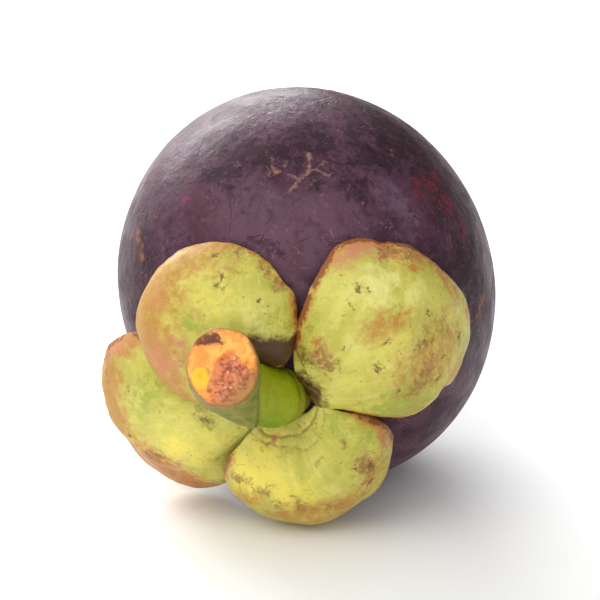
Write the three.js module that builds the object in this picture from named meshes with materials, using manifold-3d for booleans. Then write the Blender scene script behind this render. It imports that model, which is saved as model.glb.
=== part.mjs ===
// A whole ripe mangosteen lying on its side: a round purple fruit with four fleshy sepals and a thick cut
// stem at one end, and the corky rosette of the old stigma at the other.
// Units are millimetres and +Z is up. The origin is the middle of the small flat spot that the fruit lies on.
//
// The fruit is modelled in a frame of its own, with its centre at the origin and its stem end towards +Z.
// The "fruit map" used there gives a point by its arc distance from the stem end, its direction round the
// axis, and its height above the skin. A group lays the whole fruit down and turns it.

import * as THREE from "three";
import { mergeVertices } from "three/addons/utils/BufferGeometryUtils.js";
import Module from "manifold-3d";

// ---- Driving dimensions ----

const GIRTH = 60.8; // mean diameter across the axis
const GIRTH_OVAL = 1.5; // how far the girth is out of round: added to one half width, taken off the other
const OVAL_TURN = 115; // direction of the wide diameter round the axis, degrees
const LENGTH = 57.6; // stem end to stigma end, skin to skin
const FULLNESS = 2.12; // 2 is an ellipse; more is fuller in the shoulders
const NAVEL = { depth: 0.7, reach: 9 }; // the shallow dip in the skin round both ends of the axis

const REST_FLAT = 0.8; // thickness of the slice that the flat spot takes off the round
const PITCH_DOWN = 13.5; // how far the stem end dips below level, degrees
const YAW_LEFT = 9; // how far the stem end turns from -Y towards -X, degrees

const GAP = 0.35; // clearance between pieces that touch

const STEM = { radius: 4.4, collar: 4.8, collarHeight: 4, flare: 5.5, ridge: 0.16 };
// The stem's centre line in the fruit's frame, counted from the skin at the stem end.
const STEM_ROUTE = [
  [0, 0, 0.9],
  [-0.1, 0.3, 2.9],
  [-2.6, 4.6, 7.4],
  [-4.9, 9.9, 11.7],
  [-4.9, 16.7, 16.8],
];

// Each sepal is a spoon. Its outline is given flat, as [along, across] from the axis, starting at the notch
// that clasps the stem; `turn` is the direction it points round the axis. The skin side is `base` above the
// fruit; `bulge` and `tip` raise the middle and the end, `cup` bends the rim back and `tilt` raises a flank.
const SEPALS = {
  sepal_outer_upper: {
    turn: 128,
    outline: [
      [5.7, 0], [4.8, -4.6], [6.6, -9], [11.8, -13], [18.2, -12.2], [23.6, -8.4], [26.2, -2],
      [25.2, 5], [21.4, 10.4], [15.4, 12.6], [9.4, 11.2], [5.4, 4.2],
    ],
    base: 3, bulge: 2.8, tip: 0.6, cup: 2, tilt: 1.4,
  },
  sepal_inner_right: {
    turn: 31,
    outline: [
      [6.1, 0], [5.8, -3.4], [9.8, -7.2], [13.2, -13], [19, -16.2], [26.8, -15.6], [32.4, -11.4],
      [33.6, -3], [32.2, 5], [28.6, 11.6], [23, 15.8], [17.2, 14.2], [11.6, 9.2], [6, 3.2],
    ],
    base: 0.2, bulge: 5, tip: 1.8, cup: 1.7, tilt: 0,
  },
  sepal_outer_lower: {
    turn: 285,
    outline: [
      [5.6, 0], [4.4, -4.2], [7.4, -9.4], [12.4, -12], [18, -11], [22.4, -6.8], [23.6, 0],
      [21.4, 7], [17.6, 12], [12, 14.2], [6.4, 12], [2.6, 6.4], [4.4, 4],
    ],
    base: 3, bulge: 2.8, tip: 2.2, cup: 2, tilt: -1.4,
  },
  sepal_inner_left: {
    turn: 209,
    outline: [
      [6.1, 0], [5.8, -3.2], [9.4, -8], [13.6, -14.2], [20, -16.8], [26.4, -13.4], [30.2, -6],
      [31.6, 3.4], [29.8, 11.8], [24, 16], [16, 13], [9.4, 7.2], [5.8, 3.2],
    ],
    base: 0, bulge: 2.4, tip: 8.2, cup: 1.7, tilt: 0,
  },
};
const SEPAL_THICK = { middle: 2.3, rim: 1.1 };
const SEPAL_RISE = [5.6, 10]; // the base height is reached between these distances from the axis

const ROSETTE = { lobes: 6, radius: 12, notch: 4, height: 1, bevel: 0.95 };

// ---- Mesh fineness: segments round and along each piece ----

const FRUIT_MESH = [52, 30];
const SEPAL_MESH = [36, 12];
const STEM_MESH = [20, 13];
const ROSETTE_MESH = [72, 3];

// ---- Materials ----

const material = (color, roughness) => new THREE.MeshStandardMaterial({ color, roughness, metalness: 0 });
const SKIN = material("#57414f", 0.5);
const SEPAL = material("#cdc160", 0.55);
const WOODY = material("#a89a3c", 0.6);
const CORK = material("#a4624f", 0.9);

const wasm = await Module();
wasm.setup();

// ---- The fruit map ----

const radians = THREE.MathUtils.degToRad;
const smooth = THREE.MathUtils.smoothstep;

// Half width of the girth in a direction round the axis.
function halfWidth(turn) {
  return GIRTH / 2 + GIRTH_OVAL * Math.cos(2 * (turn - radians(OVAL_TURN)));
}

// Distance from the centre to the skin, for a polar angle from the stem end and a direction round the axis.
function skinRadius(polar, turn) {
  const across = Math.abs(Math.sin(polar)) / halfWidth(turn);
  const along = Math.abs(Math.cos(polar)) / (LENGTH / 2);
  const round = (across ** FULLNESS + along ** FULLNESS) ** (-1 / FULLNESS);
  const fromEnd = (GIRTH / 2) * Math.min(polar, Math.PI - polar);
  return round - NAVEL.depth * (1 - smooth(fromEnd, 0, NAVEL.reach));
}

// The point at an arc distance from the stem end, a direction round the axis and a height above the skin.
function onFruit(distance, turn, height) {
  const polar = distance / (GIRTH / 2);
  const r = skinRadius(polar, turn) + height;
  const across = r * Math.sin(polar);
  return new THREE.Vector3(across * Math.cos(turn), across * Math.sin(turn), r * Math.cos(polar));
}

// ---- Mesh building ----

const bare = (geometry) => mergeVertices(geometry.deleteAttribute("normal").deleteAttribute("uv"));

// Turns a primitive's axis to +Z, then moves each of its vertices to where `place` sends it. `place` is told
// the vertex's distance from the axis, its direction round it and its height along it.
function reshaped(primitive, place) {
  const geometry = bare(primitive.rotateX(Math.PI / 2));
  const { position } = geometry.attributes;
  for (let i = 0; i < position.count; i++) {
    const [x, y, z] = [position.getX(i), position.getY(i), position.getZ(i)];
    position.setXYZ(i, ...place(Math.hypot(x, y), Math.atan2(y, x), z));
  }
  return geometry;
}

function toManifold(geometry) {
  const { attributes, index } = bare(geometry);
  return new wasm.Manifold(
    new wasm.Mesh({
      numProp: 3,
      vertProperties: attributes.position.array,
      triVerts: new Uint32Array(index.array),
    }),
  );
}

function toGeometry(solid) {
  const mesh = solid.getMesh();
  const position = new THREE.BufferAttribute(mesh.vertProperties, 3);
  return new THREE.BufferGeometry().setAttribute("position", position).setIndex([...mesh.triVerts]);
}

function named(name, geometry, look) {
  geometry.computeVertexNormals();
  const mesh = new THREE.Mesh(geometry, look);
  mesh.name = name;
  return mesh;
}

// ---- The pieces, in the fruit's frame ----

function fruitGeometry() {
  return reshaped(new THREE.SphereGeometry(1, ...FRUIT_MESH), (across, turn, along) =>
    onFruit(Math.atan2(across, along) * (GIRTH / 2), turn, 0),
  );
}

// A sepal is a sphere whose equator becomes the outline and whose two halves become its two faces.
function sepalGeometry(sepal) {
  const flat = sepal.outline.map(([along, across]) => new THREE.Vector3(along, across, 0));
  const outline = new THREE.CatmullRomCurve3(flat, true, "centripetal");
  const rim = outline.getSpacedPoints(SEPAL_MESH[0]).slice(1);
  const root = sepal.outline[0][0];
  const end = Math.max(...rim.map((p) => p.x));
  const width = Math.max(...rim.map((p) => Math.abs(p.y)));
  const middle = new THREE.Vector3((root + end) / 2, 0, 0);

  return reshaped(new THREE.SphereGeometry(1, ...SEPAL_MESH), (out, roundRim, up) => {
    const step = Math.round((SEPAL_MESH[0] * roundRim) / (2 * Math.PI));
    const { x: along, y: across } = middle.clone().lerp(rim.at(step % SEPAL_MESH[0]), out);
    const distance = Math.hypot(along, across);
    const way = THREE.MathUtils.clamp((along - root) / (end - root), 0, 1);
    const reach = THREE.MathUtils.clamp((distance - root) / (end - root), 0, 1);
    const aside = across / width;
    const risen = smooth(distance, ...SEPAL_RISE);

    const arch = Math.sin(Math.PI * reach ** 0.85) * (1 - 0.55 * aside ** 2);
    const lift = (sepal.base + sepal.tilt * aside) * risen + sepal.bulge * arch + sepal.tip * way ** 2;
    const bent = sepal.cup * out ** 4 * risen;
    const thick = THREE.MathUtils.lerp(SEPAL_THICK.middle, SEPAL_THICK.rim, out ** 3);
    const share = 0.5 + 0.5 * Math.sign(up) * Math.abs(up) ** 0.35;
    const height = GAP + Math.max(lift - bent, 0) + thick * share;
    return onFruit(distance, radians(sepal.turn) + Math.atan2(across, along), height);
  });
}

// The stem is a cylinder bent along its route, with a collar at its foot, four ridges and a flared end.
function stemGeometry() {
  const foot = onFruit(0, 0, 0).z;
  const route = new THREE.CatmullRomCurve3(STEM_ROUTE.map(([x, y, z]) => new THREE.Vector3(x, y, foot + z)));
  const total = route.getLength();
  const steps = STEM_MESH[1];
  const frames = route.computeFrenetFrames(steps, false);

  return reshaped(new THREE.CylinderGeometry(1, 1, 1, ...STEM_MESH), (out, turn, up) => {
    const way = THREE.MathUtils.clamp(up + 0.5, 0, 1);
    const step = Math.round(way * steps);
    const collar = (STEM.collar - STEM.radius) * (1 - smooth(way * total, 0, STEM.collarHeight));
    const flare = (STEM.flare - STEM.radius) * smooth(way, 0.62, 1);
    const ridge = STEM.ridge * Math.cos(4 * turn) * smooth(way, 0.15, 0.5);
    const r = out * (STEM.radius + collar + flare + ridge);
    return route
      .getPointAt(way)
      .addScaledVector(frames.normals[step], r * Math.cos(turn))
      .addScaledVector(frames.binormals[step], r * Math.sin(turn));
  });
}

// The rosette is a thin disc, turned from a profile, whose edge is drawn in between its lobes.
function rosetteGeometry() {
  const [around, across] = ROSETTE_MESH;
  const steps = Array.from({ length: across }, (_, i) => (i + 1) / across);
  const profile = [
    new THREE.Vector2(0, 0),
    ...steps.map((out) => new THREE.Vector2(out, 0)),
    ...steps.toReversed().map((out) => new THREE.Vector2(ROSETTE.bevel * out, ROSETTE.height)),
    new THREE.Vector2(0, ROSETTE.height),
  ];
  const far = (Math.PI * GIRTH) / 2; // arc distance of the stigma end

  return reshaped(new THREE.LatheGeometry(profile, around), (out, turn, up) => {
    const lobe = Math.abs(Math.cos((ROSETTE.lobes * turn) / 2)) ** 0.35;
    const edge = THREE.MathUtils.lerp(ROSETTE.notch, ROSETTE.radius, lobe);
    return onFruit(far - out * edge, -turn, GAP + up);
  });
}

// ---- Laying the fruit down ----

const grown = new THREE.Group();
grown.rotation.set(radians(90 + PITCH_DOWN), 0, radians(-YAW_LEFT), "ZYX");
grown.updateMatrix();

// The corners of a geometry as they lie in the part's frame.
function laidCorners({ attributes: { position } }) {
  return Array.from({ length: position.count }, (_, i) =>
    new THREE.Vector3().fromBufferAttribute(position, i).applyMatrix4(grown.matrix),
  );
}

// The whole fruit is sunk by the rest flat, and what is then below z = 0 is sliced off.
const wholeFruit = fruitGeometry();
const lowest = Math.min(...laidCorners(wholeFruit).map((corner) => corner.z));
grown.position.z = -lowest - REST_FLAT;
grown.updateMatrix();
const below = new THREE.BoxGeometry(4 * GIRTH, 4 * GIRTH, GIRTH).translate(0, 0, -GIRTH / 2);
below.applyMatrix4(grown.matrix.clone().invert());
const fruit = toGeometry(toManifold(wholeFruit).subtract(toManifold(below)));

// The middle of the flat spot becomes the origin.
const flatCorners = laidCorners(fruit).filter((corner) => corner.z < 0.001);
const spot = new THREE.Box3().setFromPoints(flatCorners).getCenter(new THREE.Vector3());
grown.position.x = -spot.x;
grown.position.y = -spot.y;

grown.add(named("fruit", fruit, SKIN));
for (const [name, sepal] of Object.entries(SEPALS)) grown.add(named(name, sepalGeometry(sepal), SEPAL));
grown.add(named("stem", stemGeometry(), WOODY));
grown.add(named("stigma_rosette", rosetteGeometry(), CORK));

const mangosteen = new THREE.Group();
mangosteen.add(grown);

export default mangosteen;
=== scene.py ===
import itertools
import math

import bpy
import numpy as np
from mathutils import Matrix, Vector


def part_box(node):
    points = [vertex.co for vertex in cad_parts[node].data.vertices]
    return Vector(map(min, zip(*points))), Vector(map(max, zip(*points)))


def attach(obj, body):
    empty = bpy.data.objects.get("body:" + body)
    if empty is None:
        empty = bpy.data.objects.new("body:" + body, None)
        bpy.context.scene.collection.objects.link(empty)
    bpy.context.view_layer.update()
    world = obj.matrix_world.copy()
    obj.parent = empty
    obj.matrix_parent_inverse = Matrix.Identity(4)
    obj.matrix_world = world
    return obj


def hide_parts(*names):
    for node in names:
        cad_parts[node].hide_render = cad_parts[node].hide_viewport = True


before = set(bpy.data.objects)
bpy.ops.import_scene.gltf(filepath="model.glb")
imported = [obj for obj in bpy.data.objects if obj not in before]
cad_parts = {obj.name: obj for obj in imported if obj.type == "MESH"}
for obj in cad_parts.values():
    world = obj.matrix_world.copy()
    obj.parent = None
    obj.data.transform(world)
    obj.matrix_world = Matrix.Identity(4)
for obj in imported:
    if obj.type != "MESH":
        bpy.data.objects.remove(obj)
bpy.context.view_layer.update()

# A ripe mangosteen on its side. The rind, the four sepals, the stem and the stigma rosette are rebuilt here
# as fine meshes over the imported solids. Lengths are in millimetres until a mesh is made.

MM = 0.001

# ---- The fruit's own frame: centre at the origin, stem end towards +Z ----

GIRTH, LENGTH = 60.8, 57.6
GIRTH_OVAL, OVAL_TURN = 1.5, math.radians(115)
FULLNESS = 2.12
NAVEL_DEPTH, NAVEL_REACH = 0.7, 9
REST_FLAT = 0.8
PITCH, YAW = math.radians(103.5), math.radians(-9)

low, high = (np.array(corner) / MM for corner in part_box("fruit"))
CENTRE = np.array([(low[0] + high[0]) / 2, (low[1] + high[1]) / 2, (high[2] - REST_FLAT) / 2])
LIE = np.array([[math.cos(YAW), -math.sin(YAW), 0], [math.sin(YAW), math.cos(YAW), 0], [0, 0, 1]]) @ np.array(
    [[1, 0, 0], [0, math.cos(PITCH), -math.sin(PITCH)], [0, math.sin(PITCH), math.cos(PITCH)]]
)


def smooth(x, start, end):
    """Goes smoothly from 0 to 1 as x goes from start to end."""
    t = np.clip((x - start) / (end - start), 0, 1)
    return t * t * (3 - 2 * t)


def bell(x, width):
    return np.exp(-((x / width) ** 2))


def skin_radius(polar, turn):
    """The skin's distance from the centre: a full, slightly oval round with a shallow navel at each end."""
    half_width = GIRTH / 2 + GIRTH_OVAL * np.cos(2 * (turn - OVAL_TURN))
    across = np.abs(np.sin(polar)) / half_width
    along = np.abs(np.cos(polar)) / (LENGTH / 2)
    full = (across**FULLNESS + along**FULLNESS) ** (-1 / FULLNESS)
    from_end = GIRTH / 2 * np.minimum(polar, math.pi - polar)
    return full - NAVEL_DEPTH * (1 - smooth(from_end, 0, NAVEL_REACH))


def on_fruit(distance, turn, height=0.0):
    """Points at an arc distance from the stem end, a direction round the axis and a height above the skin."""
    polar = np.asarray(distance) / (GIRTH / 2)
    r = skin_radius(polar, turn) + height
    across = r * np.sin(polar)
    return np.stack([across * np.cos(turn), across * np.sin(turn), r * np.cos(polar)], -1)


def laid(points):
    """Points of the fruit's own frame, as it lies on the floor."""
    return points @ LIE.T + CENTRE


# ---- Noise ----


def hashed(cell, seed):
    h = (cell @ np.array([374761393, 668265263, 974634777]) + seed * 144269504) & 0xFFFFFFFF
    h = ((h ^ (h >> 13)) * 1274126177) & 0xFFFFFFFF
    return (h ^ (h >> 16)) / 0x7FFFFFFF - 1


def noise(points, pitch, seed, octaves=3):
    """Smooth value noise from about -1 to 1, with its widest features a pitch apart."""
    total, most, share = 0.0, 0.0, 1.0
    for octave in range(octaves):
        p = points / (pitch * 0.5**octave) + 31.7 * (seed + octave)
        cell = np.floor(p).astype(np.int64)
        f = p - cell
        f = f * f * (3 - 2 * f)
        value = 0.0
        for corner in itertools.product((0, 1), repeat=3):
            weight = np.prod(np.where(np.array(corner) == 1, f, 1 - f), axis=-1)
            value = value + weight * hashed(cell + np.array(corner), seed)
        total, most, share = total + share * value, most + share, share * 0.55
    return total / most * 1.6


def to_path(points, path, width):
    """1 on a path through the given points, falling to 0 over a width."""
    nearest = np.full(points.shape[:-1], 1e9)
    for a, b in zip(path, path[1:]):
        run = b - a
        t = np.clip(((points - a) @ run) / (run @ run), 0, 1)
        nearest = np.minimum(nearest, np.linalg.norm(points - a - t[..., None] * run, axis=-1))
    return bell(nearest, width)


# ---- Meshes ----


def closed_piece(name, body_points, marks, node):
    """A closed mesh from rows of points round an axis. The first and last rows shrink to single points.
    Each mark is a number for every point, kept as an attribute that the materials read."""
    rows, around = body_points.shape[:2]
    first, final = (body_points[end].mean(0)[None] for end in (0, -1))
    points = np.concatenate([first, body_points.reshape(-1, 3), final])
    index = 1 + np.arange(rows * around).reshape(rows, around)
    right = np.roll(index, -1, axis=1)
    quads = np.stack([index[:-1], index[1:], right[1:], right[:-1]], -1).reshape(-1, 4)
    last = len(points) - 1
    top = np.stack([np.zeros(around, int), index[0], right[0]], -1)
    bottom = np.stack([np.full(around, last), right[-1], index[-1]], -1)
    mesh = bpy.data.meshes.new(name)
    mesh.from_pydata((points * MM).tolist(), [], quads.tolist() + top.tolist() + bottom.tolist())
    mesh.shade_smooth()
    for mark, values in marks.items():
        values = np.broadcast_to(values, (rows, around))
        flat = np.concatenate([[values[0].mean()], values.reshape(-1), [values[-1].mean()]])
        mesh.attributes.new(mark, "FLOAT", "POINT").data.foreach_set("value", flat.astype(np.float32))
    piece = bpy.data.objects.new(name, mesh)
    bpy.context.collection.objects.link(piece)
    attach(piece, "root")
    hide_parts(node)
    return piece


def catmull_rom(a, b, c, d, t):
    """Points from b to c on the smooth curve through four points in a row."""
    return 0.5 * (2 * b + (c - a) * t + (2 * a - 5 * b + 4 * c - d) * t**2 + (3 * b - a - 3 * c + d) * t**3)


def arc_length(points):
    """How far along a line each of its points is."""
    return np.concatenate([[0], np.cumsum(np.linalg.norm(np.diff(points, axis=0), axis=1))])


def closed_curve(corners, count):
    """A closed smooth curve through the corners, as points an equal arc length apart."""
    p = np.array(corners, float)
    rows = (np.roll(p, shift, 0)[:, None, :] for shift in (1, 0, -1, -2))
    dense = catmull_rom(*rows, np.linspace(0, 1, 40, endpoint=False)[None, :, None]).reshape(-1, 2)
    dense = np.vstack([dense, dense[:1]])
    length = arc_length(dense)
    want = np.linspace(0, length[-1], count, endpoint=False)
    return np.stack([np.interp(want, length, dense[:, k]) for k in range(2)], -1)


# ---- Material building ----


def srgb(*rgb):
    return tuple((c / 255 / 12.92) if c <= 10 else ((c / 255 + 0.055) / 1.055) ** 2.4 for c in rgb) + (1.0,)


class Look:
    """A material whose colour, roughness and bump are built up from procedural nodes."""

    def __init__(self, name, **constants):
        self.material = bpy.data.materials.new(name)
        self.material.use_nodes = True
        self.tree = self.material.node_tree
        self.shader = self.tree.nodes["Principled BSDF"]
        for socket, value in constants.items():
            self.shader.inputs[socket.replace("_", " ")].default_value = value
        where = self.tree.nodes.new("ShaderNodeTexCoord").outputs["Object"]
        self.where = self.vector_math("SCALE", where, scale=1 / MM)

    def put(self, socket, value):
        if isinstance(value, bpy.types.NodeSocket):
            self.tree.links.new(value, socket)
        else:
            socket.default_value = value

    def vector_math(self, operation, a, b=None, scale=None):
        node = self.tree.nodes.new("ShaderNodeVectorMath")
        node.operation = operation
        self.put(node.inputs[0], a)
        if b is not None:
            self.put(node.inputs[1], b)
        if scale is not None:
            node.inputs["Scale"].default_value = scale
        return node.outputs[0]

    def math(self, operation, a, b=0.0, clamp=False):
        node = self.tree.nodes.new("ShaderNodeMath")
        node.operation = operation
        node.use_clamp = clamp
        self.put(node.inputs[0], a)
        self.put(node.inputs[1], b)
        return node.outputs[0]

    def mark(self, name):
        node = self.tree.nodes.new("ShaderNodeAttribute")
        node.attribute_name = name
        return node.outputs["Fac"]

    def noise(self, pitch, detail=4.0, roughness=0.55, distortion=0.0, at=None):
        node = self.tree.nodes.new("ShaderNodeTexNoise")
        self.put(node.inputs["Vector"], at or self.where)
        for socket, value in (("Scale", 1 / pitch), ("Detail", detail), ("Roughness", roughness)):
            node.inputs[socket].default_value = value
        node.inputs["Distortion"].default_value = distortion
        return node.outputs["Fac"]

    def cells(self, pitch):
        """The distance to the nearest of many scattered points."""
        node = self.tree.nodes.new("ShaderNodeTexVoronoi")
        self.put(node.inputs["Vector"], self.where)
        node.inputs["Scale"].default_value = 1 / pitch
        return node.outputs["Distance"]

    def fade(self, value, start, end, low=0.0, high=1.0):
        """Goes smoothly from low to high as the value goes from start to end."""
        node = self.tree.nodes.new("ShaderNodeMapRange")
        node.interpolation_type = "SMOOTHSTEP"
        self.put(node.inputs["Value"], value)
        for socket, number in (("From Min", start), ("From Max", end), ("To Min", low), ("To Max", high)):
            node.inputs[socket].default_value = number
        return node.outputs["Result"]

    def mix(self, share, a, b, blend="MIX"):
        node = self.tree.nodes.new("ShaderNodeMix")
        node.data_type = "RGBA"
        node.blend_type = blend
        for socket, value in zip((node.inputs[0], node.inputs[6], node.inputs[7]), (share, a, b)):
            self.put(socket, value)
        return node.outputs[2]

    def times(self, a, b):
        return self.math("MULTIPLY", a, b)

    def scaled(self, mark, factor):
        return self.times(self.mark(mark), factor)

    def point(self, x, y, z=0.0):
        node = self.tree.nodes.new("ShaderNodeCombineXYZ")
        for socket, value in zip(node.inputs, (x, y, z)):
            self.put(socket, value)
        return node.outputs[0]

    def worn(self, mark, pitch, amount, start, end):
        """A mark whose soft edge is broken up into ragged patches by a noise."""
        grit = self.fade(self.noise(pitch, 6, 0.66, 0.5), 0.28, 0.72, -amount / 2, amount / 2)
        body = self.mark(mark)
        held = self.times(grit, self.fade(body, 0.02, 0.3))
        return self.fade(self.math("ADD", body, held), start, end)

    def veins(self, pitch, width):
        """Thin wandering lines."""
        level = self.math("SUBTRACT", self.noise(pitch, 3, 0.55, 0.8), 0.5)
        return self.fade(self.math("ABSOLUTE", level), width, width / 4)

    def finish(self, colour, roughness, height, depth_mm):
        bump = self.tree.nodes.new("ShaderNodeBump")
        bump.inputs["Strength"].default_value = 1.0
        bump.inputs["Distance"].default_value = depth_mm * MM
        self.put(bump.inputs["Height"], height)
        self.put(self.shader.inputs["Base Color"], colour)
        self.put(self.shader.inputs["Roughness"], roughness)
        self.put(self.shader.inputs["Normal"], bump.outputs["Normal"])
        return self.material


# ---- Rind ----

# Marks on the skin, placed by arc distance from the stem end and direction round the axis in degrees.
SCAR = (
    [(32.8, 89), (34.6, 87), (36.2, 84.4), (37.4, 82), (38.8, 80.2)],
    [(36.2, 84.4), (38.4, 84.6), (39.6, 85.4)],
    [(37.4, 82), (36.9, 79.8), (37.2, 78)],
    [(34.6, 87), (35.6, 90.4), (36.8, 91.6)],
)
CORK_LINES = (
    ([(48.5, 136), (47, 138.5), (45, 141), (42, 143.5), (39, 145)], 0.35),
    ([(36.8, 145.5), (34.5, 146), (31.8, 146.5)], 0.7),
    ([(49, 19), (47.2, 17), (45.2, 15.4)], 0.6),
    ([(41.5, 8), (38, 6.5), (35, 6)], 0.6),
    ([(56, 31), (52, 24)], 0.35),
    ([(36.6, 99), (35.2, 101.5), (34.6, 103.5)], 0.3),
    ([(39.6, 97), (38, 95.6), (36.6, 94.8), (35.8, 93)], 0.3),
    ([(62, 84), (60.5, 80), (60, 90)], 0.6),
    ([(96, 200), (78, 214), (70, 230)], 0.4),
    ([(66, 300), (58, 306)], 0.6),
)
CORK_DOTS = [(37.5, 105), (37.7, 91), (33, 96), (30, 118), (36, 72), (34, 75), (33.4, 79), (34.5, 66),
             (42, 66), (31, 121)]
DARK = [(36.6, 111, 2.4), (39.4, 106, 2.6), (41.6, 102, 3.4), (43.2, 90, 3.6), (41, 82, 2.4),
        (35.6, 81, 1.9), (36, 69, 2.6), (48.2, 73, 3.4), (47.6, 61, 4), (38.6, 93.5, 2.2),
        (37.2, 88.6, 1.6), (43.5, 68, 3.6), (40, 98, 2.6), (39, 74, 2.6), (52, 66, 4), (34, 27, 4),
        (40, 20, 5), (70, 100, 6), (62, 200, 7), (50, 260, 7), (76, 20, 6), (70, 310, 6)]
CRIMSON = [(43.6, 52, 1.5), (46, 46, 2.1), (46.3, 38, 1.7), (45.4, 30, 1.6), (41.6, 49, 1.1),
           (49, 46, 1.1), (70, 150, 3)]
MAGENTA = [(34.6, 123, 0.6), (33.4, 115, 0.3)]
PALE = [(27, 88, 8), (28, 76, 7), (29, 104, 8), (24, 96, 7), (52, 170, 12), (60, 280, 12), (74, 60, 10)]
# Painted shade: soft spots that darken the rind's flanks and far side, where little light reaches.
PAINTED_SHADE_FLANK = [(44, 18, 9), (36, 8, 8), (52, 36, 10), (56, 56, 8), (31, 156, 8), (40, 158, 7), (30, 335, 6),
         (50, 330, 12), (46, 190, 8)]
# Painted reflection: pale blue-grey spots of sheen beside the right-hand inner sepal.
PAINTED_SHEEN = [(36.4, 56, 2.6), (35, 50, 2.4), (30, 60, 2)]


def crowded(start, end, count, middle, width):
    """Numbers from start to end that are set three times as densely round the middle."""
    x = np.linspace(start, end, 2000)
    total = np.concatenate([[0], np.cumsum(1 + 2.2 * bell(x[1:] - middle, width))])
    return np.interp(np.linspace(0, total[-1], count), total, x)


def skin_point(distance, degrees):
    return on_fruit(distance, math.radians(degrees))


def blobs(points, spots):
    """The union of soft round spots."""
    total = np.zeros(points.shape[:-1])
    for distance, degrees, radius in spots:
        away = np.linalg.norm(points - skin_point(distance, degrees), axis=-1)
        total = np.maximum(total, bell(away, radius * 1.2))
    return total


def make_rind():
    polar = crowded(0, math.pi, 242, math.radians(74), math.radians(24))[1:-1, None]
    turn = crowded(0, 2 * math.pi, 381, math.radians(85), math.radians(42))[None, :-1]
    plain = on_fruit(polar * GIRTH / 2, turn)
    ragged = noise(plain, 2.6, 3, 4)
    warped = plain + 0.4 * np.stack([noise(plain, 1.4, k, 3) for k in (21, 22, 23)], -1)
    bent = plain + 1.6 * np.stack([noise(plain, 5, k, 3) for k in (24, 25, 26)], -1)

    scar = np.zeros(plain.shape[:-1])
    for path in SCAR:
        scar = np.maximum(scar, to_path(warped, [skin_point(*p) for p in path], 0.36))
    cork = np.zeros(plain.shape[:-1])
    for path, width in CORK_LINES:
        line = to_path(warped, [skin_point(*p) for p in path], width * 1.4)
        cork = np.maximum(cork, line * smooth(ragged + 0.7, 0, 1))
    for distance, degrees in CORK_DOTS:
        away = np.linalg.norm(warped - skin_point(distance, degrees), axis=-1)
        cork = np.maximum(cork, 0.75 * bell(away, 0.45))

    height = 0.16 * noise(plain, 26, 11, 2) + 0.04 * noise(plain, 4, 12, 2)
    height += 0.16 * scar + 0.12 * cork
    marks = {
        "scar": scar,
        "cork": cork,
        "dark": blobs(bent, DARK),
        "crimson": blobs(bent, CRIMSON),
        "magenta": blobs(warped, MAGENTA),
        "pale": blobs(bent, PALE),
        "painted_sheen": blobs(bent, PAINTED_SHEEN),
        "painted_shade_flank": blobs(bent, PAINTED_SHADE_FLANK),
    }
    body = laid(on_fruit(polar * GIRTH / 2, turn, height))
    body[..., 2] = np.maximum(body[..., 2], 0)
    rind = closed_piece("rind", body, marks, "fruit")
    rind.data.materials.append(rind_look())


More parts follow.
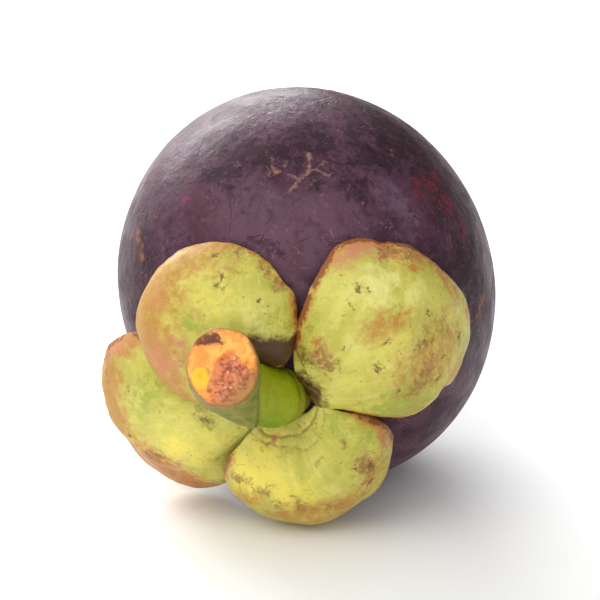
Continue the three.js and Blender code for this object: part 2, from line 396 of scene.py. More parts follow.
def rind_look():
    look = Look("rind_skin", Specular_IOR_Level=0.18, IOR=1.45)
    broad = look.noise(12, 5, 0.6, 0.4)
    mottle = look.noise(3.4, 7, 0.66, 0.8)
    fine = look.noise(0.6, 5, 0.65)
    colour = look.mix(look.fade(broad, 0.36, 0.64), srgb(70, 41, 55), srgb(89, 59, 75))
    # Painted shade darkens the flanks of the rind.
    colour = look.mix(look.times(look.worn("painted_shade_flank", 4, 0.8, 0.1, 0.9), 0.85), colour, srgb(50, 22, 33))
    pale = look.worn("pale", 5, 0.7, 0.3, 1.0)
    colour = look.mix(look.times(pale, 0.6), colour, srgb(103, 72, 86))
    colour = look.mix(look.fade(mottle, 0.47, 0.66, 0, 0.62), colour, srgb(50, 28, 40))
    warm = look.noise(7, 5, 0.6, 0.6)
    colour = look.mix(look.fade(warm, 0.52, 0.72, 0, 0.45), colour, srgb(83, 42, 50))
    colour = look.mix(look.fade(fine, 0.5, 0.72, 0, 0.4), colour, srgb(112, 80, 95))

    dark = look.worn("dark", 1.9, 1.5, 0.42, 0.86)
    colour = look.mix(look.times(dark, 0.6), colour, srgb(38, 21, 31))
    crimson = look.worn("crimson", 1.2, 1.4, 0.3, 1.05)
    colour = look.mix(look.times(crimson, 0.7), colour, srgb(116, 34, 50))
    colour = look.mix(look.times(look.worn("magenta", 0.7, 1.0, 0.25, 1.1), 0.75), colour, srgb(146, 48, 86))
    # Painted reflection: a pale blue-grey sheen mixed into the rind's colour.
    colour = look.mix(look.times(look.worn("painted_sheen", 1.5, 0.9, 0.3, 1.1), 0.2), colour, srgb(135, 123, 142))

    # Tan grit and scuffs: fine corky flecks in drifts, and thin wandering scratches.
    drift = look.fade(look.noise(9, 4, 0.6, 0.5), 0.46, 0.62)
    grit = look.times(look.fade(look.noise(0.75, 3, 0.7, 0.6), 0.62, 0.72), drift)
    colour = look.mix(look.times(grit, 0.6), colour, srgb(150, 112, 104))
    scratch = look.times(look.veins(4.2, 0.012), look.fade(look.noise(3.1, 3), 0.54, 0.64))
    colour = look.mix(look.times(scratch, 0.45), colour, srgb(146, 110, 100))
    crack = look.times(look.veins(6.5, 0.016), look.fade(look.noise(5, 3), 0.5, 0.6))
    colour = look.mix(look.times(crack, 0.5), colour, srgb(34, 20, 30))

    scar = look.worn("scar", 0.6, 0.8, 0.25, 0.9)
    cork = look.worn("cork", 0.7, 0.9, 0.3, 0.95)
    patchy = look.fade(look.noise(1.6, 5, 0.65), 0.36, 0.64, 0.25, 0.85)
    colour = look.mix(look.times(cork, patchy), colour, srgb(150, 108, 84))
    colour = look.mix(look.times(scar, patchy), colour, srgb(152, 112, 104))

    rough = look.fade(look.noise(4, 6, 0.62), 0.35, 0.7, 0.36, 0.54)
    rough = look.math("ADD", rough, look.times(dark, 0.12))
    rough = look.math("ADD", rough, look.times(look.math("MAXIMUM", cork, scar), 0.3), True)
    relief = look.math("ADD", look.times(look.noise(1.5, 6, 0.62), 0.8), look.times(look.noise(0.3, 3), 0.16))
    relief = look.math("ADD", relief, look.times(grit, 0.12))
    relief = look.math("SUBTRACT", relief, look.times(crack, 0.25))
    return look.finish(colour, rough, relief, 0.22)


make_rind()

# ---- Sepals ----

# `outline` is flat, as [along, across] from the axis; `turn` is the sepal's direction round it in degrees.
# `base`, `bulge`, `tip`, `cup` and `tilt` are the heights of the root, the middle, the far end, the curled
# rim and one flank over the other. `shade` sets how much painted shade darkens the root, and `rim` browns the
# edge.
# A stain is (along, across, half length, half width, strength); the `root` patches are painted shade where
# the sepal turns down into shadow by the stem, not stains.
SEPALS = {
    "sepal_outer_upper": dict(
        turn=128,
        outline=[(4.4, 0), (4.2, -4.4), (6.4, -8.8), (9, -11.2), (11.8, -12.9), (14.4, -12.6),
                 (18.2, -12.2), (21.4, -10.6), (23.8, -8.2), (25.6, -5), (26.3, -1.6), (25.9, 2),
                 (24.9, 5.4), (21.4, 10.2), (18.4, 11.8), (15.2, 12.6), (12, 12.4), (9.2, 11), (6, 7.4),
                 (4.6, 3.6)],
        base=3, bulge=2.8, tip=0.6, cup=2, tilt=1.4, shade=1, rim=0.8,
        stains_and_shade=dict(
            tan=[(23, 5, 6, 6.4, 1.2), (18.5, 9, 7, 6.4, 1.3), (24, -4, 3.4, 7, 0.95),
                 (12, 10.6, 6, 5, 1.3), (20, -8, 2, 2, 0.6), (17, 3, 4, 4, 0.5)],
            pink=[(14, 6.6, 3, 2.6, 0.9), (15, 3, 1.8, 1.6, 0.8), (21.6, -3.5, 1.4, 1.4, 0.5),
                  (21, 3, 2, 2, 0.5)],
            brown=[(21.4, -9.6, 1.4, 1.4, 0.9), (14.6, -12.2, 1.4, 1.1, 1), (17.4, -11.6, 2, 0.9, 0.9),
                   (19, -6, 2, 1, 0.5)],
            green=[(17, 0, 2, 1.4, 0.7), (19.6, 1.6, 1.4, 1.2, 0.6), (10.5, -9.4, 2.4, 2.2, 0.6),
                   (19, -4.6, 1.6, 1.4, 0.5)],
            pale=[(12.6, -7.4, 3, 3, 0.6)],
            gold=[(17, -3, 7, 7, 0.42), (20, 3, 4, 5, 0.36)],
            spot=[(19.3, -6.2, 0.4, 0.5, 1), (18.8, -5.2, 0.3, 0.4, 1), (14, -8.9, 0.3, 0.3, 1),
                  (22.5, -6.5, 0.4, 0.5, 0.9)],
            # Painted shade, not stain: the root turning down into shadow by the stem.
            root=[(9.5, -4, 1.9, 2.2, 1.9), (7.4, -5.8, 2, 2.4, 1.9), (5.4, -7.8, 2, 2.4, 1.9),
                  (10.1, -1, 1.2, 2.4, 1.5)],
        ),
    ),
    "sepal_inner_right": dict(
        turn=31,
        outline=[(4.6, 0), (4.8, -3), (7, -5.2), (9.6, -7.8), (11.4, -10.6), (14, -13.4), (18.6, -15.4),
                 (21, -15), (22.6, -17), (26.6, -15.7), (30, -13.8), (32.4, -11), (33.6, -7), (33.8, -3),
                 (33.2, 1.4), (32, 5.2), (30.4, 8.6), (28, 11.4), (26.6, 12.2), (24.8, 14.6),
                 (22.4, 15.9), (19.4, 16), (16.6, 14.9), (13.6, 13), (10.8, 10.6), (8, 7.8), (5.6, 3.8)],
        base=0, bulge=5, tip=1.8, cup=1.7, tilt=0, shade=0.9, rim=1.35,
        stains_and_shade=dict(
            pink=[(22.8, 14.6, 3.8, 2.6, 1.2), (19.2, 15, 2.4, 2.2, 1), (25.6, 12.2, 2.2, 2, 1)],
            orange=[(26.8, 10, 2.2, 1.8, 0.95), (29, 7, 2.6, 1.7, 1.1), (30.6, 1.5, 1.4, 5, 1),
                    (31, -8, 1.2, 4, 0.9), (10.6, 5.8, 1.8, 2, 0.9)],
            brown=[(25.6, 10.9, 1.6, 1.2, 1), (27.7, 8.6, 1.6, 1, 0.9), (10.5, 3.6, 1.5, 2.4, 1),
                   (22.4, -1.9, 2, 1.8, 0.75), (25.3, -2.4, 1.6, 3, 0.6), (19, -6.5, 3, 2, 0.75),
                   (21.2, -5, 2, 2, 0.5), (26.6, -7.6, 1.4, 1.2, 0.5), (21, -14.6, 1.6, 0.8, 0.8)],
            tan=[(18.8, 4, 2.6, 1.9, 0.85), (20.8, 3.1, 2.4, 1.4, 0.85), (22, -5, 6.5, 5, 0.75),
                 (17, -10, 4, 3, 0.4), (23, -12, 4, 3, 0.7)],
            green=[(11.3, -5.6, 3, 3, 0.5), (15.6, -8, 5, 4, 1.1), (27.6, -9, 2, 3, 0.6),
                   (12.4, 10, 3, 2, 0.6), (31, -2, 1.6, 4, 0.5)],
            pale=[(21.4, 8.4, 3.6, 3.6, 0.9), (25, 4, 2.4, 2.6, 0.6), (15.6, 4.6, 2, 3, 0.5)],
            gold=[(22.6, -15.9, 1.4, 1, 1)],
            spot=[(19, 9.5, 0.5, 0.45, 1), (19.9, 8.4, 0.45, 0.35, 0.9), (15.4, -0.4, 0.6, 0.6, 0.8),
                  (18.1, 1.8, 0.7, 0.6, 0.6), (26.8, -7.7, 0.7, 0.5, 1), (16.1, -5.4, 0.4, 0.4, 0.8),
                  (16.9, 8.8, 0.3, 1.1, 0.7), (13.6, 4.2, 0.3, 0.3, 0.8), (23, -6.6, 0.5, 0.4, 0.7),
                  (20.4, -8.6, 0.6, 0.4, 0.8), (24.6, 0.6, 0.5, 0.8, 0.6)],
            # Painted shade, not stain: the root turning down into shadow by the stem.
            root=[(8, 5.4, 2, 2.4, 0.6), (7.4, 1, 2, 3, 0.5)],
        ),
    ),
    "sepal_outer_lower": dict(
        turn=285,
        outline=[(4.4, 0), (3.8, -4), (5.4, -7.2), (8, -9.8), (12.4, -12), (15.4, -12), (18.2, -10.8),
                 (20.8, -8.8), (22.6, -6.2), (23.5, -3), (23.7, 0.4), (22.9, 3.8), (21.4, 7),
                 (19.6, 9.8), (17.4, 12), (14.8, 13.6), (12, 14.2), (9, 13.8), (6, 12.2), (3.4, 9),
                 (1.8, 6), (3.4, 3.6)],
        base=3, bulge=2.8, tip=2.2, cup=2, tilt=-1.4, shade=0.15, rim=0.95,
        stains_and_shade=dict(
            gold=[(8, -4.4, 4, 4, 1), (11, -1.6, 3.4, 3.6, 0.9)],
            brown=[(10.6, 9.2, 2, 1.8, 0.8), (14, 8.4, 2, 1.6, 0.75), (7, 7.4, 1, 0.7, 0.6),
                   (8.7, -7.2, 0.8, 1.6, 1), (10.4, -4.6, 0.9, 1.6, 1), (12.6, -3.4, 0.9, 1.3, 0.9),
                   (13.4, -0.7, 1.6, 0.8, 1), (15.4, 3.4, 1.4, 2, 0.6)],
            tan=[(15.8, 4.6, 2, 4, 0.95), (15.4, -1, 1.8, 5, 0.95), (12.6, 10, 3.4, 2.6, 0.7),
                 (12, -8, 1.8, 3, 0.7), (19, 0, 3, 9, 0.7)],
            orange=[(9.4, 13, 3, 1.1, 1), (5.6, 11.6, 2, 0.9, 0.7), (5.9, -2.4, 0.5, 1.3, 0.9)],
            green=[(7.6, 10.4, 2, 1.8, 0.7), (4.6, 8, 2.4, 2, 0.7), (9, 6, 1.6, 1.6, 0.4)],
            pale=[(4.8, -5.6, 1.6, 2, 0.7), (12.6, 4.4, 1.6, 2, 0.6)],
            spot=[(11.4, 9.9, 0.8, 0.5, 1), (10, 8, 0.5, 0.5, 0.8), (14.4, 9, 0.6, 0.5, 0.9),
                  (12.8, 6.8, 0.4, 0.3, 0.7)],
        ),
    ),
    "sepal_inner_left": dict(
        turn=209,
        outline=[(4.6, 0), (4.8, -3), (6.8, -5.2), (9.4, -8), (11.2, -11.4), (13.6, -14.2),
                 (16.6, -16.2), (20, -16.7), (23.6, -15.4), (26.4, -13.2), (28.8, -9.8), (30.3, -6),
                 (31.2, -1.2), (31.5, 3.4), (31, 8), (29.6, 12), (27, 15), (24, 16.2), (20, 15.2),
                 (16, 13), (12.4, 10), (9.2, 7), (5, 3)],
        base=0, bulge=2.4, tip=8.2, cup=1.7, tilt=0, shade=0.5, rim=1.1,
        stains_and_shade=dict(
            pink=[(21.4, -15.2, 3, 1.6, 0.9), (18, -15.4, 2, 1.2, 0.7)],
            brown=[(24, -13.6, 2.2, 1.6, 0.9), (20.9, 2, 1.8, 1.5, 1), (23, 5.6, 1.4, 2.4, 0.8),
                   (21.2, 9, 1.2, 2, 0.7), (24.6, -10.4, 1, 2, 0.6)],
            tan=[(24.4, -10.6, 3.2, 4.2, 1.5), (26, -6, 3, 4.6, 1.5), (23.4, 11, 2.4, 4, 1),
                 (20, -15, 3, 1.6, 1)],
            orange=[(23.4, 4, 4.2, 4.4, 1.5), (21.8, 8.4, 3.2, 4, 1.5), (27, 5, 3, 5.4, 1.4),
                    (20.4, 11.6, 2.4, 2.2, 1.2)],
            gold=[(16, 1, 3.4, 4, 0.8), (11, 0.6, 2.4, 3, 0.5)],
            green=[(17.5, 11.5, 3, 2, 0.6), (16, -8, 6, 4, 0.55)],
            pale=[(19, -8, 3, 2.4, 0.5)],
            spot=[(23.7, -1.6, 0.4, 0.4, 1), (20, -9, 0.3, 0.3, 0.7), (22.4, 1.4, 0.6, 0.8, 0.9)],
            # Painted shade, not stain: the root turning down into shadow by the stem.
            root=[(10.2, -2.6, 1.2, 3, 0.6), (11.6, 4.6, 3, 1, 0.5)],
        ),
    ),
}
SEPAL_RISE = (5.6, 10)
SEPAL_GAP, SEPAL_THICK, SEPAL_THINNING = 0.35, 2.3, 1.1
CREASES = (6.0, 7.1)
SEPAL_ROWS, SEPAL_AROUND = 84, 280
STAINS_AND_SHADE = ("tan", "brown", "pink", "green", "gold", "orange", "pale", "spot", "root")


def make_sepal(name, turn, outline, base, bulge, tip, cup, tilt, shade, rim, stains_and_shade, seed):
    edge = closed_curve(outline, SEPAL_AROUND)
    root, end, width = outline[0][0], edge[:, 0].max(), np.abs(edge[:, 1]).max()
    middle = np.array([(root + end) / 2, 0])
    wave = noise(np.c_[edge, np.zeros(len(edge))], 3.2, seed, 3)
    edge = middle + (edge - middle) * (1 + 0.016 * wave * smooth(np.hypot(*edge.T), 7, 12))[:, None]

    polar = math.pi * np.linspace(0, 1, SEPAL_ROWS + 2)[1:-1, None] ** 1.2
    out, up = np.sin(polar), np.cos(polar)
    flat = middle + out[..., None] * (edge - middle)[None]
    along, across = flat[..., 0], flat[..., 1]
    distance = np.hypot(along, across)
    bearing = np.arctan2(across, along)
    way = np.clip((along - root) / (end - root), 0, 1)
    reach = np.clip((distance - root) / (end - root), 0, 1)
    aside = across / width
    risen = smooth(distance, *SEPAL_RISE)

    flat3 = np.stack([along, across, np.full_like(along, 7.0 * seed)], -1)
    arch = np.sin(math.pi * reach**0.85) * (1 - 0.55 * aside**2)
    lift = (base + tilt * aside) * risen + bulge * arch + tip * way**2 - cup * out**4 * risen
    lift = SEPAL_GAP + np.maximum(lift, 0)
    lift += 0.6 * noise(flat3, 10, seed + 1, 2) * smooth(distance, 7, 12)
    lift += 0.45 * noise(flat3, 4.5, seed + 2, 2) * out**3 * smooth(distance, 9, 14)
    thick = SEPAL_THICK - SEPAL_THINNING * out**3
    share = 0.5 + 0.5 * np.sign(up) * np.abs(up) ** 0.4

    # Folds that run out from the stem, and two creases that ring it.
    near = bell(distance - 6, 4.6)
    folds = near * (0.32 * np.sin(7 * bearing + seed) + 0.18 * np.sin(15 * bearing + 2 * seed))
    rings = bell(distance - CREASES[0], 0.3)
    rings = rings + 0.85 * bell(distance - CREASES[1] - 0.4 * np.sin(3 * bearing), 0.26)
    skin = 0.16 * noise(flat3, 2.2, seed + 3, 3) + 0.3 * noise(flat3, 6, seed + 4, 2)
    skin += 0.3 * bell(out - 0.86, 0.07) * (up > 0)
    pits = sum(s * bell(np.hypot((along - x) / a, (across - y) / b), 1.3) for x, y, a, b, s in stains_and_shade["spot"])
    height = lift + share * (thick + (folds - 0.4 * rings + skin - 0.14 * pits) * (1 - out**6))
    body = laid(on_fruit(distance, math.radians(turn) + bearing, height))
    body[..., 2] = np.maximum(body[..., 2], 0.05)

    ragged = noise(flat3, 3, seed + 5, 4)
    bent = flat + 0.5 * np.stack([noise(flat3, 2.4, seed + 6, 3), noise(flat3, 2.4, seed + 7, 3)], -1)
    marks = {kind: np.zeros_like(along) for kind in STAINS_AND_SHADE}
    for kind, patches in stains_and_shade.items():
        for x, y, half_long, half_wide, strength in patches:
            away = np.hypot((bent[..., 0] - x) / half_long, (bent[..., 1] - y) / half_wide)
            marks[kind] = np.maximum(marks[kind], strength * bell(away, 1.15))
    inset = np.linalg.norm(edge[None] - flat, axis=-1)
    marks["rim"] = rim * bell(inset, 1.0) * smooth(distance, 8, 12) * np.clip(0.85 + 0.7 * ragged, 0, 1.1)
    # Painted shade: the root darkens towards the stem, as if it were in shadow there.
    marks["root"] = np.maximum(marks["root"], shade * (1 - smooth(distance + 0.8 * ragged, 5.5, 9.5)))
    # Painted shade in the two creases that ring the stem.
    marks["ring"] = rings * near
    marks["under"] = smooth(up, 0.1, -0.3) * np.ones_like(along)
    marks["fibre_out"], marks["fibre_round"] = distance, bearing * 9
    piece = closed_piece(name + "_flesh", body, marks, name)
    piece.data.materials.append(SEPAL_LOOK)


def sepal_look():
    look = Look("sepal_flesh", Specular_IOR_Level=0.4, Subsurface_Weight=0.1, Subsurface_Scale=0.0011)
    look.shader.inputs["Subsurface Radius"].default_value = (1.0, 0.8, 0.25)
    broad = look.noise(8, 5, 0.6, 0.4)
    mottle = look.noise(2.2, 6, 0.62, 0.6)
    fine = look.noise(0.7, 4, 0.6)
    colour = look.mix(look.fade(broad, 0.36, 0.62), srgb(183, 177, 72), srgb(204, 195, 89))
    colour = look.mix(look.fade(mottle, 0.5, 0.7, 0, 0.5), colour, srgb(175, 177, 66))
    fibre = look.noise(1, 4, 0.6, 0.2, look.point(look.scaled("fibre_out", 0.16), look.mark("fibre_round")))
    colour = look.mix(look.fade(fibre, 0.48, 0.68, 0, 0.35), colour, srgb(218, 210, 122))
    colour = look.mix(look.fade(fibre, 0.5, 0.32, 0, 0.25), colour, srgb(168, 162, 59))
    colour = look.mix(look.fade(fine, 0.52, 0.75, 0, 0.3), colour, srgb(221, 214, 130))
    colour = look.mix(look.worn("pale", 2.4, 0.6, 0.3, 0.95), colour, srgb(216, 210, 122))
    colour = look.mix(look.times(look.worn("gold", 2.6, 0.5, 0.15, 1.05), 0.95), colour, srgb(234, 216, 94))
    colour = look.mix(look.times(look.worn("green", 1.6, 0.8, 0.3, 0.9), 0.8), colour, srgb(152, 160, 58))

    tan = look.worn("tan", 1.7, 0.7, 0.05, 1.1)
    colour = look.mix(look.times(tan, 0.92), colour, srgb(183, 131, 58))
    flecked = look.times(tan, look.fade(look.noise(0.8, 4, 0.7, 0.4), 0.48, 0.74))
    colour = look.mix(look.times(flecked, 0.55), colour, srgb(160, 107, 49))
    colour = look.mix(look.times(look.worn("pink", 1.3, 0.7, 0.15, 1.15), 0.85), colour, srgb(198, 122, 92))
    colour = look.mix(look.times(look.worn("orange", 1.1, 0.9, 0.2, 1.05), 0.85), colour, srgb(183, 110, 51))
    brown = look.worn("brown", 1.0, 1.2, 0.32, 1.1)
    colour = look.mix(look.times(brown, 0.72), colour, srgb(142, 92, 52))
    stipple = look.times(look.mark("brown"), look.fade(look.noise(0.42, 4, 0.7), 0.56, 0.66))
    colour = look.mix(look.times(stipple, 0.8), colour, srgb(116, 70, 44))
    colour = look.mix(look.times(look.worn("spot", 0.5, 0.8, 0.35, 0.75), 0.85), colour, srgb(110, 68, 36))

    glow = look.worn("rim", 1.4, 0.6, 0.16, 0.6)
    colour = look.mix(look.times(glow, 0.7), colour, srgb(197, 131, 55))
    line = look.worn("rim", 0.8, 0.7, 0.5, 0.85)
    colour = look.mix(look.times(line, 0.85), colour, srgb(128, 66, 32))
    # Painted shade: olive-brown in the creases that ring the stem.
    ring = look.worn("ring", 0.6, 0.5, 0.45, 1.0)
    colour = look.mix(look.times(ring, 0.7), colour, srgb(130, 103, 34))
    # Painted shade: near-black brown where the root turns down into shadow by the stem.
    root = look.worn("root", 1.2, 0.5, 0.25, 0.95)
    colour = look.mix(look.times(root, 0.96), colour, srgb(68, 26, 4))

    # Dark pores and short thin scratches, in drifts.
    near = look.cells(1.3)
    drift = look.fade(look.noise(4.5, 3), 0.46, 0.58)
    speck = look.times(look.fade(near, 0.15, 0.07), drift)
    colour = look.mix(look.times(speck, 0.6), colour, srgb(122, 84, 44))
    scratch = look.times(look.veins(3.4, 0.014), look.fade(look.noise(2.6, 3), 0.55, 0.63))
    colour = look.mix(look.times(scratch, 0.5), colour, srgb(150, 112, 56))
    colour = look.mix(look.times(look.mark("under"), 0.45), colour, srgb(188, 146, 86))

    rough = look.fade(look.noise(2.6, 5), 0.35, 0.7, 0.4, 0.58)
    rough = look.math("ADD", rough, look.times(look.math("MAXIMUM", brown, tan), 0.14), True)
    relief = look.times(look.noise(1.0, 6, 0.62), 0.8)
    relief = look.math("ADD", relief, look.times(look.noise(0.28, 3), 0.24))
    relief = look.math("ADD", relief, look.times(fibre, 0.5))
    relief = look.math("SUBTRACT", relief, look.times(speck, 0.3))
    relief = look.math("SUBTRACT", relief, look.times(look.math("ADD", scratch, stipple), 0.25))
    return look.finish(colour, rough, relief, 0.2)


SEPAL_LOOK = sepal_look()
for seed, (name, shape) in enumerate(SEPALS.items(), 3):
    make_sepal(name, seed=seed, **shape)

# ---- Stem ----

# The stem leaves the fruit along its axis, bends sideways and ends in a stub that turns up to its cut face.
STEM_ROUTE = [(0, 0.3, -0.8), (-0.5, 1.4, 2.8), (-3.3, 4.8, 6.5), (-5.6, 10.1, 10.6), (-4.9, 16.7, 16.6)]
STEM_ROWS, STEM_AROUND, CUT_ROWS = 130, 180, 44
STEM_RADIUS = 4.7
FACE_RIGHT, FACE_UP, FACE_OUT = (
    np.array(axis) for axis in ((0.987, -0.037, -0.155), (-0.06, 0.816, -0.575), (0.148, 0.577, 0.803))
)
# The bark of the stub starts at a plane across the bend.
BARK_START = -7.25 * FACE_RIGHT - 15.7 * FACE_UP + 34.5 * FACE_OUT
BARK_SIDE = -0.995 * FACE_RIGHT + 0.1 * FACE_OUT


def make_stem():
    foot = on_fruit(0, 0)[2]
    p = np.array(STEM_ROUTE, float) + [0, 0, foot]
    ends = np.vstack([2 * p[0] - p[1], p, 2 * p[-1] - p[-2]])
    t = np.linspace(0, 1, 60, endpoint=False)[:, None]
    route = np.vstack([catmull_rom(*row, t) for row in zip(ends, ends[1:], ends[2:], ends[3:])] + [p[-1:]])
    length = arc_length(route)
    way = np.linspace(0, 1, STEM_ROWS)
    centre = np.stack([np.interp(way * length[-1], length, route[:, k]) for k in range(3)], -1)
    tangent = np.gradient(centre, axis=0)
    tangent /= np.linalg.norm(tangent, axis=1)[:, None]
    side = np.cross(FACE_UP, tangent)
    side /= np.linalg.norm(side, axis=1)[:, None]
    other = np.cross(tangent, side)

    turn = np.linspace(0, 2 * math.pi, STEM_AROUND, endpoint=False)[None, :]
    along = way[:, None] * length[-1]
    w = way[:, None]
    spoke = np.cos(turn)[..., None] * side[:, None] + np.sin(turn)[..., None] * other[:, None]
    beyond = (centre[:, None] + 5 * spoke - BARK_START) @ BARK_SIDE
    bark = smooth(beyond, -0.25, 0.25)
    ring = np.stack([np.cos(turn) * 6 + 0 * w, np.sin(turn) * 6 + 0 * w, along + 0 * turn], -1)
    radius = STEM_RADIUS + 0.3 * (1 - smooth(along, 0.4, 3.5)) + 0.3 * bark - 0.25 * bell(beyond + 0.2, 0.4)
    radius = radius + (0.6 - 0.28 * np.cos(2 * turn)) * smooth(w, 0.55, 0.95)
    radius = radius - 0.25 * bell(along - 3.4, 0.45) - 0.3 * bell(along - 2.0, 0.35)
    radius = radius + 0.18 * noise(ring, 5, 31, 3) + 0.14 * noise(ring * [1, 1, 0.3], 1.4, 32, 2) * bark
    radius = radius - 0.16 * smooth(w, 0.975, 1)
    end_radius = radius[-1]
    sides = centre[:, None] + radius[..., None] * spoke

    # The cut end: a torn, fibrous face with lumps in the middle, and a chip out of its upper left rim.
    out = np.linspace(1, 0, CUT_ROWS + 1)[1:, None]
    flat = out[..., None] * end_radius[None, :, None] * spoke[-1][None]
    right, up = flat @ FACE_RIGHT / 5, flat @ FACE_UP / 5
    face = np.stack([right * 5, up * 5, np.full_like(right, 3.0)], -1)
    ragged = noise(face, 2.2, 35, 3)
    core = smooth(np.hypot((right - 0.16) * 1.1, up + 0.36) + 0.25 * ragged, 1.0, 0.4)
    chip_side = right + 0.42
    chip = np.hypot(chip_side / 0.52, (up - 0.8 + 0.3 * chip_side**2) / 0.24)
    chip = smooth(chip + 0.3 * ragged, 1.2, 0.5)
    gold = smooth(np.hypot((right + 0.66) / 0.3, (up + 0.34) / 0.38) + 0.3 * ragged, 1.15, 0.7)
    lumps = 0.3 * noise(face, 2.6, 33, 3) * smooth(out, 1, 0.8) + 0.42 * noise(face, 1.05, 34, 2) * core
    dome = 0.45 * (1 - out**5) - 0.35 * chip + 0.25 * gold + 0.12 * bell(out - 0.85, 0.1)
    cap = centre[-1] + flat + (lumps + dome)[..., None] * tangent[-1]
    body = laid(np.concatenate([sides, cap])[::-1])

    none, every = np.zeros_like(radius), np.ones_like(right)
    marks = {
        "cut": np.concatenate([none, every])[::-1],
        "core": np.concatenate([none, core])[::-1],
        "chip": np.concatenate([none, chip])[::-1],
        "gold": np.concatenate([none, gold])[::-1],
        "lip": np.concatenate([smooth(w, 0.93, 1) + none, smooth(out, 0.86, 1) + 0 * every])[::-1],
        "shade": np.concatenate([none, smooth(right - 1.1 * up, 0.6, 1.5)])[::-1],
        "bark": np.concatenate([bark, every])[::-1],
        # Painted shade along the crease where the bark meets the green.
        "painted_crease_shade": np.concatenate([bell(beyond, 0.35) + none, 0 * every])[::-1],
        "foot": np.concatenate([smooth(along, 4.6, 1.6) + none, 0 * every])[::-1],
        # Painted light: the stem's right side, as seen, is made lighter.
        "painted_light_side": np.concatenate([smooth(spoke @ FACE_RIGHT, 0.1, 0.9), 0 * every])[::-1],
    }
    stem = closed_piece("stem_cut", body, marks, "stem")
    stem.data.materials.append(stem_look())


def stem_look():
    look = Look("stem_wood", Specular_IOR_Level=0.4)
    green = look.mix(look.fade(look.noise(5, 4), 0.35, 0.65), srgb(96, 128, 0), srgb(122, 146, 0))
    # Painted light: the stem's right side is a lighter yellow-green, as if more strongly lit.
    green = look.mix(look.times(look.mark("painted_light_side"), 0.7), green, srgb(160, 164, 0))
    green = look.mix(look.fade(look.noise(0.8, 4), 0.52, 0.7, 0, 0.25), green, srgb(88, 110, 2))
    green = look.mix(look.times(look.mark("foot"), 0.75), green, srgb(112, 100, 26))
    grain = look.fade(look.noise(2.2, 6, 0.62, 0.4), 0.38, 0.64)
    bark = look.mix(grain, srgb(106, 114, 34), srgb(138, 134, 50))
    bark = look.mix(look.fade(look.noise(0.9, 5, 0.65), 0.5, 0.68, 0, 0.5), bark, srgb(116, 88, 40))
    side = look.mix(look.mark("bark"), green, bark)
    # Painted shade: a darker green line in the crease where the bark meets the green.
    side = look.mix(look.times(look.mark("painted_crease_shade"), 0.45), side, srgb(88, 96, 30))
    side = look.mix(look.times(look.worn("lip", 0.8, 0.8, 0.3, 0.9), 0.7), side, srgb(158, 96, 48))

    grain = look.fade(look.noise(2.0, 6, 0.65, 0.5), 0.38, 0.62)
    flesh = look.mix(grain, srgb(248, 152, 66), srgb(252, 188, 88))
    flesh = look.mix(look.fade(look.noise(0.9, 4, 0.6), 0.56, 0.72, 0, 0.5), flesh, srgb(208, 104, 50))
    grain = look.fade(look.noise(0.9, 6, 0.7, 0.4), 0.42, 0.58)
    fibre = look.mix(grain, srgb(158, 80, 54), srgb(222, 138, 96))
    near = look.cells(0.95)
    pearly = look.times(look.fade(near, 0.3, 0.12), look.fade(look.noise(1.8, 3), 0.46, 0.56))
    fibre = look.mix(look.times(pearly, 0.85), fibre, srgb(238, 184, 154))
    torn = look.worn("core", 0.9, 0.9, 0.1, 0.9)
    flesh = look.mix(look.times(torn, 0.6), flesh, srgb(214, 96, 44))
    cut = look.mix(look.worn("core", 0.7, 0.9, 0.4, 1.0), flesh, fibre)
    cut = look.mix(look.times(look.mark("shade"), 0.65), cut, srgb(132, 112, 62))
    cut = look.mix(look.times(look.worn("gold", 0.6, 0.6, 0.3, 0.75), 0.95), cut, srgb(240, 190, 44))
    cut = look.mix(look.times(look.worn("chip", 0.7, 0.9, 0.25, 0.9), 0.92), cut, srgb(92, 38, 42))
    cut = look.mix(look.times(look.worn("lip", 0.7, 0.8, 0.4, 0.9), 0.55), cut, srgb(178, 104, 46))
    colour = look.mix(look.mark("cut"), side, cut)
    rough = look.fade(look.noise(2, 4), 0.35, 0.7, 0.42, 0.65)
    relief = look.math("ADD", look.times(look.noise(0.8, 6, 0.68), 0.8), look.times(look.noise(0.28, 3), 0.3))
    return look.finish(colour, rough, relief, 0.26)


make_stem()

# ---- Stigma rosette ----

LOBE_LENGTHS = np.array([12, 11, 11.8, 11.2, 12, 10.8])
ROSETTE_NOTCH = 3.8
ROSETTE_ROWS, ROSETTE_AROUND = 100, 540


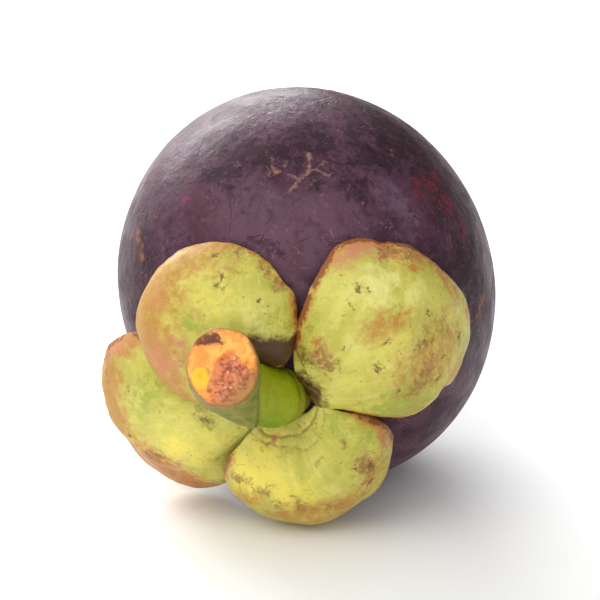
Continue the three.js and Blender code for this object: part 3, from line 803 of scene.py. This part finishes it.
def make_rosette():
    """Wedge-shaped corky lobes, parted by narrow notches whose grooves run on towards the middle."""
    turn = np.linspace(0, 2 * math.pi, ROSETTE_AROUND, endpoint=False)[None, :]
    polar = np.linspace(0, math.pi, ROSETTE_ROWS + 2)[1:-1, None]
    out, up = np.sin(polar), np.cos(polar)
    step = 2 * math.pi / len(LOBE_LENGTHS)
    lobe = np.floor(turn / step + 0.5)
    aside = 2 * np.abs(turn / step - lobe)
    ring = np.stack([np.cos(turn) * 9, np.sin(turn) * 9, 0 * turn], -1)
    full = LOBE_LENGTHS[lobe.astype(int) % len(LOBE_LENGTHS)] * (1 - 0.1 * aside**2)
    full = full * (1 + 0.05 * noise(ring, 3.4, 41, 3))
    edge = ROSETTE_NOTCH + (full - ROSETTE_NOTCH) * (1 - np.clip(aside * 1.06, 0, 1) ** 4.5)
    distance = out * edge
    flat = np.stack([distance * np.cos(turn), distance * np.sin(turn), np.zeros_like(distance)], -1)
    groove = bell(distance * (1 - aside) * step / 2, 0.5) * smooth(distance, 0.3, 2)
    swell = 0.4 * (1 - aside**2) * smooth(distance, 2.5, 7)
    share = 0.5 + 0.5 * np.sign(up) * np.abs(up) ** 0.4
    rise = 1.05 + swell - 0.35 * groove - 0.3 * bell(distance, 1.6)
    rise = rise + 0.22 * noise(flat, 3, 42, 2) + 0.2 * noise(flat, 1.1, 43, 3)
    height = -0.25 + share * rise
    body = laid(on_fruit(math.pi * GIRTH / 2 - distance, -turn, height))
    marks = {
        # Painted shade: the grooves between the lobes and the rosette's lower edge.
        "groove": np.maximum(groove, smooth(out, 0.9, 1) * smooth(up, 0.5, -0.2)),
        "tip": smooth(distance / full, 0.62, 0.95) * smooth(noise(flat, 4, 44, 2), -0.1, 0.5),
    }
    rosette = closed_piece("stigma_rosette_cork", body, marks, "stigma_rosette")
    rosette.data.materials.append(rosette_look())


def rosette_look():
    look = Look("rosette_cork", Specular_IOR_Level=0.25)
    colour = look.mix(look.fade(look.noise(4, 5), 0.36, 0.64), srgb(112, 60, 52), srgb(142, 80, 68))
    colour = look.mix(look.fade(look.noise(1.4, 5, 0.65), 0.5, 0.7, 0, 0.6), colour, srgb(92, 50, 44))
    colour = look.mix(look.fade(look.noise(0.5, 4, 0.65), 0.52, 0.72, 0, 0.45), colour, srgb(164, 108, 90))
    colour = look.mix(look.times(look.worn("tip", 0.9, 0.8, 0.3, 1.0), 0.6), colour, srgb(172, 104, 84))
    # Painted shade: dark in the notches between the lobes and under the rosette's edge.
    colour = look.mix(look.times(look.worn("groove", 0.6, 0.6, 0.3, 0.9), 0.75), colour, srgb(72, 36, 34))
    relief = look.math("ADD", look.times(look.noise(1.0, 6, 0.68), 0.8), look.times(look.noise(0.3, 3), 0.35))
    return look.finish(colour, look.fade(look.noise(2, 4), 0.35, 0.7, 0.7, 0.92), relief, 0.35)


make_rosette()

# ---- Floor, lights and camera ----


def aim(thing, target):
    thing.rotation_euler = (Vector(target) - thing.location).to_track_quat("-Z", "Y").to_euler()


def softbox(name, place, target, size, watts):
    data = bpy.data.lights.new(name, "AREA")
    data.shape = "RECTANGLE"
    data.size, data.size_y = size
    data.energy = watts
    lamp = bpy.data.objects.new(name, data)
    lamp.location = place
    lamp.visible_camera = False
    aim(lamp, target)
    bpy.context.collection.objects.link(lamp)


MIDDLE = Vector(CENTRE * MM)
FLOOR_HALF = 3

floor_mesh = bpy.data.meshes.new("floor")
corners = [(x * FLOOR_HALF, y * FLOOR_HALF, 0) for x, y in ((-1, -1), (1, -1), (1, 1), (-1, 1))]
floor_mesh.from_pydata(corners, [], [(0, 1, 2, 3)])
floor = bpy.data.objects.new("floor", floor_mesh)
bpy.context.collection.objects.link(floor)
floor_look = Look("floor_white", Specular_IOR_Level=0.2)
pale = floor_look.mix(floor_look.noise(400, 2), (0.94, 0.94, 0.94, 1), (0.96, 0.96, 0.96, 1))
floor_mesh.materials.append(floor_look.finish(pale, 0.7, floor_look.noise(300, 2), 0.01))

softbox("key", (-0.20, -0.34, 0.56), MIDDLE, (0.45, 0.45), 1.4)
softbox("back_left", (-0.22, 0.48, 0.27), MIDDLE, (0.56, 0.26), 4.6)
softbox("front", (-0.05, -0.62, 0.12), MIDDLE, (0.50, 0.20), 0.6)

world = bpy.data.worlds.new("studio")
world.use_nodes = True
world.node_tree.nodes["Background"].inputs["Color"].default_value = (1, 1, 1, 1)
sky = world.node_tree
direction = sky.nodes.new("ShaderNodeTexCoord").outputs["Generated"]


def faded_sky(axis, start, end, low, high):
    """Goes smoothly from low to high as the direction turns along an axis."""
    along, ramp = sky.nodes.new("ShaderNodeVectorMath"), sky.nodes.new("ShaderNodeMapRange")
    along.operation = "DOT_PRODUCT"
    along.inputs[1].default_value = axis
    ramp.interpolation_type = "SMOOTHSTEP"
    for socket, number in (("From Min", start), ("From Max", end), ("To Min", low), ("To Max", high)):
        ramp.inputs[socket].default_value = number
    sky.links.new(direction, along.inputs[0])
    sky.links.new(along.outputs["Value"], ramp.inputs["Value"])
    return ramp.outputs["Result"]


# Brighter overhead, and darker towards the back right.
strength = sky.nodes.new("ShaderNodeMath")
strength.operation = "MULTIPLY"
sky.links.new(faded_sky((0, 0, 1), 0.05, 0.6, 0.34, 1.06), strength.inputs[0])
sky.links.new(faded_sky((0.8, 0.6, 0), -0.4, 0.8, 1.0, 0.36), strength.inputs[1])
sky.links.new(strength.outputs[0], sky.nodes["Background"].inputs["Strength"])
bpy.context.scene.world = world
bpy.context.scene.view_settings.view_transform = "Standard"

ELEVATION, DISTANCE, AIM_OFFSET = math.radians(22), 0.50, Vector((-0.0012, 0, -0.0024))
camera = bpy.data.objects.new("camera", bpy.data.cameras.new("camera"))
camera.data.lens = 190
camera.data.clip_start = 0.01
target = MIDDLE + AIM_OFFSET
camera.location = target + DISTANCE * Vector((0, -math.cos(ELEVATION), math.sin(ELEVATION)))
aim(camera, target)
bpy.context.collection.objects.link(camera)
bpy.context.scene.camera = camera
